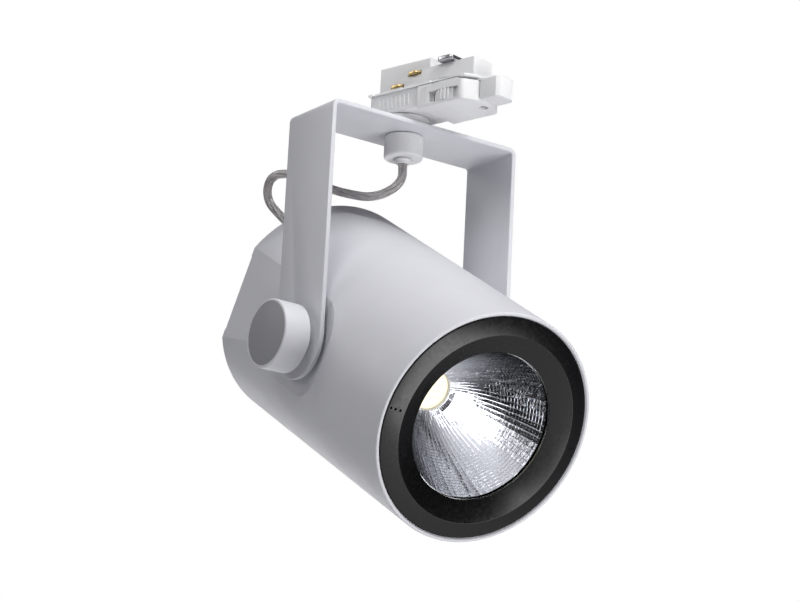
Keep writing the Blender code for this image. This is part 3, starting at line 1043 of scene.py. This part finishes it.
    def small_parts(self) -> None:
        """The screw, the terminal block and the collar above the yoke."""
        parts = (
            ("cover_screw", ZINC, 0.1),
            ("terminal_block", GREY_PLASTIC, 0.3),
            ("swivel_collar", PLASTIC_WHITE, 0.3),
        )
        for node, finish, radius in parts:
            refined(node, finish, Body.ADAPTER, radius)


@dataclass
class Yoke:
    """The bent bar, its swivel and its cable gland."""

    gland_radius: float = 12.3
    gland_top: float = -25.8
    gland_bottom: float = -40.5
    bore: float = 5.3
    lead_bore: float = 3.1

    def build(self) -> None:
        """Makes the yoke and what turns with it."""
        refined("yoke", POWDER_WHITE, Body.BRACKET, 0.7, 40.0)
        self.gland()
        self.collar()
        refined("swivel_nipple", ZINC, Body.BRACKET, 0.2)
        refined("swivel_nut", ZINC, Body.BRACKET, 0.2)
        for side in ("left", "right"):
            refined(side + "_friction_washer", NYLON, Body.BRACKET, 0.2)

    def gland(self) -> None:
        """The round gland under the bridge, with a soft lower rim."""
        radius = self.gland_radius
        profile = filleted([
            (self.bore, self.gland_top), (radius - 1.5, self.gland_top),
            (radius - 0.25, self.gland_top - 0.3, 0.2), (radius, self.gland_top - 1.6, 0.6),
            (radius, self.gland_bottom, 1.4), (6.4, self.gland_bottom, 0.3),
            (5.9, self.gland_bottom + 0.5, 0.2), (4.3, self.gland_bottom + 0.5, 0.2), (4.3, -33.5),
            (self.bore, -33.5),
        ], 6)
        Dress(PLASTIC_WHITE, Body.BRACKET, ("gland_body",)).piece(
            "gland_body_shape", lathe(profile, 128), SEAT
        )

    def collar(self) -> None:
        """The flexible collar that guides the lead out of the gland."""
        low = self.gland_bottom - 3.4
        profile = filleted([
            (self.lead_bore, -34.0), (4.0, -34.0), (4.0, self.gland_bottom - 0.3),
            (5.2, self.gland_bottom - 0.3, 0.2), (5.2, self.gland_bottom - 1.3, 0.4),
            (4.5, self.gland_bottom - 1.9, 0.2), (4.3, low, 0.5), (self.lead_bore, low, 0.2),
        ], 4)
        Dress(PLASTIC_WHITE, Body.BRACKET, ("gland_collar",)).piece(
            "gland_collar_shape", lathe(profile, 64), SEAT
        )


@dataclass
class Clamp:
    """One clamp knob with its stud and spacer."""

    side: int
    body: Body
    radius: float = 21.5
    inner: float = 76.0
    outer: float = 94.0
    rim: float = 1.1
    stud_bore: float = 4.3

    def build(self) -> None:
        """Makes the knob, its face groove, a grey disc of painted shade on its face, the spacer and the stud."""
        word = "left" if self.side < 0 else "right"
        face = self.outer - 0.15
        profile = filleted([
            (0.0, self.inner + 10), (self.stud_bore, self.inner + 10), (self.stud_bore, self.inner),
            (16.8, self.inner),
            (17.4, self.inner + 0.5, 0.2), (18.4, self.inner + 0.5, 0.2), (19.0, self.inner, 0.2),
            (self.radius - 0.1, self.inner, 0.7), (self.radius, self.outer, self.rim),
            (self.radius - 1.7, self.outer, 0.2), (self.radius - 1.8, face - 0.3, 0.1),
            (0.0, face - 0.3),
        ], 6)
        knob = turned(lathe(profile, 160, closed=False), "Y", 90 * self.side)
        dress = Dress(POWDER_WHITE, self.body, (word + "_knob",), slot="plastic_white")
        dress.piece(word + "_knob_shape", knob, HUB)
        # A grey disc set into the knob's face: painted shade, as the real face is as white as the knob.
        shade_disc_radius = self.radius - 1.9
        shade_disc = filleted([(0.0, face - 0.4), (shade_disc_radius, face - 0.4), (shade_disc_radius, face, 0.2), (0.0, face)])
        Dress(KNOB_FACE_PAINTED_SHADE, self.body, slot="plastic_white").piece(
            word + "_knob_painted_shade", turned(lathe(shade_disc, 160, closed=False), "Y", 90 * self.side), HUB
        )
        spacer = filleted([
            (self.stud_bore, 71.3), (14.5, 71.3, 0.5), (14.5, 75.7, 0.5), (self.stud_bore, 75.7),
        ], 4)
        Dress(PLASTIC_WHITE, Body.BRACKET, (word + "_knob_spacer",)).piece(
            word + "_knob_spacer_shape", turned(lathe(spacer, 96), "Y", 90 * self.side), HUB
        )
        refined(word + "_stud", ZINC, self.body, 0.0)


@dataclass
class Housing:
    """The white tube with its two flats, its rear cover and what it holds."""

    radius: float = 72.5
    wall: float = 2.5
    rear: float = -93.0
    front: float = 114.0
    flat_x: float = 65.5
    flat_skin: float = 3.2
    pocket_radius: float = 31.6
    pocket_centre: float = 4.9
    core_front: float = 60.0
    core_inset: float = 1.0
    pocket_lip: float = 3.0
    stud_bore: float = 4.3
    segments: int = 240
    cover_back: float = -91.5
    gland_place: tuple[float, float, float] = (-34.0, 46.0, 0.0)
    screw_places: tuple[tuple[float, float], ...] = ((0.0, 62.0), (-53.0, -33.0), (53.0, -33.0))

    def build(self) -> None:
        """Makes the housing's pieces."""
        self.shell()
        self.rear_cover()
        self.rear_gland()
        for word in ("left", "right"):
            refined(word + "_pivot_boss", CAST, Body.HEAD, 0.2)
        refined("driver_case", GREY_PLASTIC, Body.HEAD, 0.0)
        refined("heat_sink", CAST, Body.HEAD, 0.0)

    def pocket(self, side: int, extra: float, low: float, high: float) -> Shape:
        """The stadium of a yoke recess, standing across X.

        Args:
            side: -1 or 1.
            extra: How much wider than the recess.
            low: Distance from the middle where it begins.
            high: Distance where it ends.

        Returns:
            The solid.
        """
        radius = self.pocket_radius + extra
        outline = arc(0, self.pocket_centre, radius, 0, 180, 72)
        outline += [(-radius, self.rear - 5), (radius, self.rear - 5)]
        mesh = slab(outline, min(side * low, side * high), max(side * low, side * high))
        to_x = Matrix(((0, 0, 1), (1, 0, 0), (0, 1, 0)))
        bmesh.ops.transform(mesh, matrix=to_x.to_4x4(), verts=mesh.verts)
        return mesh

    def shell(self) -> None:
        """The turned tube, its two recesses and the holes for the studs."""
        inner = self.radius - self.wall
        profile = filleted([
            (self.radius, self.rear, 0.6), (self.radius, self.front, 1.0),
            (self.radius - 1.7, self.front, 0.35), (inner, self.front - 1.2), (inner, self.rear),
        ], 5)
        dress = Dress(POWDER_WHITE, Body.HEAD, ("housing_shell",), 30.0)
        shell = dress.piece("housing_shell_shape", lathe(profile, self.segments), HEAD)
        core_radius = self.radius - self.core_inset
        back = self.rear + 0.6
        outline = [(0.0, back), (core_radius, back), (core_radius, self.core_front), (0.0, self.core_front)]
        core = lathe(outline, self.segments, closed=False)
        holder = dress.piece("pocket_walls", core, HEAD)
        walls = [self.pocket(side, self.pocket_lip, self.flat_x - self.flat_skin, 80.0) for side in (-1, 1)]
        cut(holder, walls, HEAD, "INTERSECT")
        filled = bmesh.new()
        filled.from_mesh(holder.data)
        bmesh.ops.transform(filled, matrix=(HEAD @ Matrix.Scale(MM, 4)).inverted(), verts=filled.verts)
        bpy.data.objects.remove(holder)
        cut(shell, [filled], HEAD, "UNION")
        cut(shell, [self.pocket(side, 0.0, self.flat_x, 90.0) for side in (-1, 1)], HEAD)
        bore = [(0.0, 50.0), (self.stud_bore, 50.0), (self.stud_bore, 80.0), (0.0, 80.0)]
        holes = [turned(lathe(bore, 48, closed=False), "Y", 90 * side) for side in (-1, 1)]
        cut(shell, holes, HEAD)
        dress.put(shell)

    def rear_cover(self) -> None:
        """The rear cover: a stepped disc with cooling slots and its three screws."""
        inner = self.radius - self.wall - 0.3
        back = self.cover_back
        profile = filleted([
            (0.0, back + 0.9), (37.0, back + 0.9, 0.4), (38.2, back, 0.4), (inner, back, 0.6),
            (inner, -88.5, 0.3), (0.0, -88.5),
        ], 4)
        dress = Dress(POWDER_WHITE, Body.HEAD, ("rear_cover",), 30.0)
        cover = dress.piece("rear_cover_shape", lathe(profile, 192, closed=False), HEAD)
        trim = self.flat_x - self.flat_skin - 0.3
        cut(cover, [brick((2 * trim, 160.0, 30.0), (0.0, 0.0, -90.0))], HEAD, "INTERSECT")
        holes = []
        for x, n, bore in [(*self.gland_place[:2], 5.3), *[(x, n, 1.9) for x, n in self.screw_places]]:
            outline = [(0.0, -100.0), (bore, -100.0), (bore, -80.0), (0.0, -80.0)]
            holes.append(shifted(lathe(outline, 48, closed=False), (x, n, 0.0)))
        slots = [brick((3.0, 30.0, 8.0), (x, -8.0, -90.0), 1.2) for x in (-24, -16, -8, 0, 8, 16, 24)]
        cut(cover, [*holes, *slots], HEAD)
        dress.put(cover)
        for index, (x, n) in enumerate(self.screw_places):
            self.screw("abc"[index], x, n)

    def screw(self, letter: str, x: float, n: float) -> None:
        """A pan-head screw with a hexagon socket.

        Args:
            letter: Which screw.
            x: Its place across the cover.
            n: Its place up the cover.
        """
        profile = filleted([
            (0.0, -93.9), (2.4, -93.9, 0.6), (3.2, -93.0, 0.4), (3.2, -91.8, 0.1), (1.6, -91.8),
            (1.6, -82.0), (0.0, -82.0),
        ], 4)
        dress = Dress(ZINC, Body.HEAD, ("rear_screw_" + letter,))
        blank = shifted(lathe(profile, 48, closed=False), (x, n, 0))
        screw = dress.piece("rear_screw_%s_shape" % letter, blank, HEAD)
        socket = shifted(slab(arc(0, 0, 1.3, 0, 300, 5), -95.0, -93.0), (x, n, 0))
        cut(screw, [socket], HEAD)
        dress.put(screw)

    def rear_gland(self) -> None:
        """The tapered, ribbed strain relief where the lead enters the head."""
        ribs = []
        for index in range(5):
            depth = -98.4 - 1.8 * index
            outer = 5.2 - 0.2 * index
            ribs += [(outer, depth, 0.2), (outer - 0.1, depth - 1.0, 0.2)]
            ribs += [(outer - 0.7, depth - 1.1, 0.15), (outer - 0.75, depth - 1.7, 0.15)]
        profile = filleted([
            (3.1, -86.0), (5.0, -86.0), (5.0, -91.8), (7.6, -91.8, 0.2), (7.6, -95.0, 0.8),
            (5.9, -96.4, 0.5), (5.4, -98.0, 0.2), *ribs, (4.1, -107.6, 0.2), (4.1, -108.0, 0.2),
            (3.1, -108.0),
        ], 3)
        Dress(PLASTIC_WHITE, Body.HEAD, ("rear_gland",)).piece(
            "rear_gland_shape", shifted(lathe(profile, 64), self.gland_place), HEAD
        )


@dataclass
class Optics:
    """The light engine, the faceted reflector and the black ring."""

    throat: float = 12.6
    mouth: float = 46.0
    back: float = 50.5
    front: float = 107.6
    rim: float = 57.5
    columns: int = 72
    rows: int = 26
    unevenness: float = 0.015
    ring_outer: float = 69.6
    ridge: float = 59.3
    opening: float = 46.6

    def build(self) -> None:
        """Makes the optical pieces."""
        self.reflector()
        self.light_engine()
        self.ring()
        refined("bayonet_base", SATIN_BLACK, Body.HEAD, 0.0)

    def reflector(self) -> None:
        """The bowl: rings of small pillowed mirror cells inside a plain skirt."""
        span = self.front - self.back
        inner = []
        for i in range(self.rows + 1):
            share = i / self.rows
            radius = math.sqrt(self.throat**2 + (self.mouth**2 - self.throat**2) * share)
            inner.append((radius, self.back + span * share))
        skirt = [(self.rim, self.front), (self.rim, self.front - 1.2), (self.mouth + 0.6, self.front - 1.2)]
        outer = [(radius + 1.2, height) for radius, height in inner[-2::-1]]
        mesh = lathe(inner + skirt + outer, self.columns)
        chance = random.Random(self.columns)
        for vert in mesh.verts:
            radius = math.hypot(vert.co.x, vert.co.y)
            if radius < self.mouth - 0.5:
                grown = 1 + chance.uniform(-self.unevenness, self.unevenness) / radius
                vert.co.x *= grown
                vert.co.y *= grown
        cells = []
        for face in mesh.faces:
            middle = face.calc_center_median()
            outwards = face.normal.x * middle.x + face.normal.y * middle.y
            inside = math.hypot(middle.x, middle.y) < self.mouth - 0.1
            if outwards < 0 and inside and middle.z > self.back + 0.2:
                cells.append(face)
        bmesh.ops.inset_individual(mesh, faces=cells, thickness=0.22, depth=0.03, use_even_offset=True)
        Dress(BRIGHT, Body.HEAD, ("reflector",), 0.0).piece("reflector_shape", mesh, HEAD)

    def light_engine(self) -> None:
        """The board, the holder, the glowing disc and the fine wires over it."""
        refined("led_board", CERAMIC, Body.HEAD, 0.1)
        holder = filleted([
            (13.0, 47.1), (24.0, 47.1, 0.4), (24.0, 49.2, 0.5), (17.0, 50.1, 0.6), (14.6, 50.1, 0.4),
            (13.0, 48.6, 0.3),
        ], 3)
        Dress(CERAMIC, Body.HEAD, ("led_holder",)).piece("led_holder_shape", lathe(holder, 96), HEAD)
        gel = [(0.0, 47.1), (12.4, 47.1), (12.4, 47.7, 0.2), (11.8, 48.1, 0.2), (0.0, 48.1)]
        Dress(PHOSPHOR, Body.HEAD, ("led_emitter",)).piece(
            "led_emitter_shape", lathe(filleted(gel, 3), 96, closed=False), HEAD
        )
        wires = [brick((19.0, 0.18, 0.14), (0.0, n, 48.2)) for n in (-4.0, 0.0, 4.0)]
        Dress(BRASS, Body.HEAD, sharp=0.0).piece("led_emitter_wires", joined(wires), HEAD)

    def ring(self) -> None:
        """The bezel: a shallow outer cone, a ridge, a funnel to the opening, and its bayonet marks."""
        profile = filleted([
            (self.ring_outer, 104.0, 0.3), (self.ring_outer, 113.5, 0.5), (self.ridge, 116.4, 0.35),
            (self.opening, 110.4, 0.25), (self.opening, 108.6, 0.2), (self.ridge - 0.5, 114.2),
            (66.5, 111.9), (66.5, 104.0),
        ], 6)
        dress = Dress(SATIN_BLACK, Body.BEZEL, ("front_ring",), 24.0)
        ring = dress.piece("front_ring_shape", lathe(profile, 256), HEAD)
        dimple = [(0.0, 113.6), (0.55, 113.9), (0.85, 115.0), (0.85, 118.0), (0.0, 118.0)]
        marks = []
        for radius, drop in ((62.3, 0.4), (65.3, -0.45), (68.0, -1.2)):
            marks.append(shifted(lathe(dimple, 24, closed=False), (-radius, 0.0, drop)))
        for radius, drop in ((63.4, 0.0), (65.4, -0.6), (67.4, -1.1)):
            marks.append(brick((0.35, 2.6, 1.4), (radius, 0.0, 115.6 + drop)))
        cut(ring, marks, HEAD)
        dress.put(ring)


@dataclass
class Studio:
    """The pale floor, the soft lights and the camera."""

    floor_height: float = -1.15
    floor_radius: float = 14.0
    target: tuple[float, float, float] = (0.0, 0.0, -0.17)
    fill: float = 0.10
    lights: tuple[tuple[str, Sequence[float], tuple[float, float], float], ...] = (
        ("key_light", (0.3, -1.2, 1.5), (1.2, 1.2), 26.0),
        ("small_light", (-0.1, -1.2, 1.0), (0.1, 0.1), 5.5),
        ("left_fill", (-1.5, -0.9, 1.1), (0.9, 0.9), 12.0),
        ("low_fill", (0.32, -1.0, -0.8), (0.8, 0.7), 7.5),
        ("rear_left_fill", (-1.5, 1.3, 0.9), (0.9, 0.9), 7.0),
        ("rear_fill", (0.5, 1.5, -0.5), (0.9, 0.9), 4.0),
    )
    lens: float = 142.05
    camera_right: tuple[float, float, float] = (0.80839, -0.58661, 0.04893)
    camera_up: tuple[float, float, float] = (-0.20043, -0.19614, 0.95987)
    camera_place: tuple[float, float, float] = (-1.08410, -1.54366, -0.67482)

    def camera(self) -> None:
        """The camera, below the light and to its left, with a long lens."""
        data = bpy.data.cameras.new("camera")
        data.lens = self.lens
        data.sensor_width = 36.0
        data.clip_start = 0.05
        data.clip_end = 60.0
        obj = bpy.data.objects.new("camera", data)
        right, up = Vector(self.camera_right), Vector(self.camera_up)
        turn = Matrix((right, up, right.cross(up))).transposed().to_4x4()
        obj.matrix_world = Matrix.Translation(SEAT @ Vector(self.camera_place)) @ turn
        bpy.context.scene.collection.objects.link(obj)
        bpy.context.scene.camera = obj

    def floor(self) -> None:
        """A plain pale floor, wide enough to run out of view."""
        mesh = bmesh.new()
        bmesh.ops.create_circle(mesh, cap_ends=True, radius=self.floor_radius, segments=96)
        shifted(mesh, (0, 0, self.floor_height))
        data = bpy.data.meshes.new("floor")
        mesh.to_mesh(data)
        mesh.free()
        obj = bpy.data.objects.new("floor", data)
        data.materials.append(FloorPaint("floor", (0.82, 0.82, 0.83), 0.7).material())
        bpy.context.scene.collection.objects.link(obj)

    def softbox(self, name: str, place: Sequence[float], size: tuple[float, float], power: float) -> None:
        """A soft rectangular light that faces the object.

        Args:
            name: Its name.
            place: Where it stands.
            size: Its width and height.
            power: Its power in watts.
        """
        data = bpy.data.lights.new(name, "AREA")
        data.shape = "RECTANGLE"
        data.size, data.size_y = size
        data.energy = power
        obj = bpy.data.objects.new(name, data)
        obj.location = place
        aim = Vector(self.target) - Vector(place)
        obj.rotation_euler = aim.to_track_quat("-Z", "Y").to_euler()
        bpy.context.scene.collection.objects.link(obj)

    def sky(self) -> None:
        """A white surround for the camera that lights the object more dimly than it looks."""
        world = bpy.data.worlds.new("surround")
        bpy.context.scene.world = world
        world.use_nodes = True
        tree = world.node_tree
        tree.nodes.clear()
        rays = tree.nodes.new("ShaderNodeLightPath")
        output = tree.nodes.new("ShaderNodeOutputWorld")
        last = None
        for ray, level in (("Is Glossy Ray", 0.02), ("Is Camera Ray", 1.0)):
            light = tree.nodes.new("ShaderNodeBackground")
            light.inputs["Strength"].default_value = level
            light.inputs["Color"].default_value = (1.0, 1.0, 1.0, 1.0)
            mix = tree.nodes.new("ShaderNodeMixShader")
            if last is None:
                last = tree.nodes.new("ShaderNodeBackground")
                last.inputs["Color"].default_value = (0.90, 0.92, 1.0, 1.0)
                last.inputs["Strength"].default_value = self.fill
            tree.links.new(rays.outputs[ray], mix.inputs[0])
            tree.links.new(last.outputs[0], mix.inputs[1])
            tree.links.new(light.outputs[0], mix.inputs[2])
            last = mix
        tree.links.new(last.outputs[0], output.inputs["Surface"])

    def build(self) -> None:
        """Sets the stage."""
        self.floor()
        self.sky()
        for light in self.lights:
            self.softbox(*light)
        bpy.context.scene.view_settings.view_transform = "Standard"


def dress_packed_nodes() -> None:
    """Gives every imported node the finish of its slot, whether a piece stands for it or not."""
    for row in frame["record"]["subparts"]:
        data = frame["nodes"][row["node"]].data
        data.materials.clear()
        data.materials.append(SLOTS[row["material_slot"]].material())


def main() -> None:
    """Builds the sub-assemblies in order."""
    logging.basicConfig(level=logging.INFO, format="%(name)s: %(message)s")
    studio = Studio()
    studio.camera()
    SupplyLead().build()
    TrackAdapter().build()
    Yoke().build()
    Clamp(-1, Body.LEFT_CLAMP).build()
    Clamp(1, Body.RIGHT_CLAMP).build()
    Housing().build()
    Optics().build()
    dress_packed_nodes()
    studio.build()
    LOG.info("sizes written")


if __name__ == "__main__":
    main()
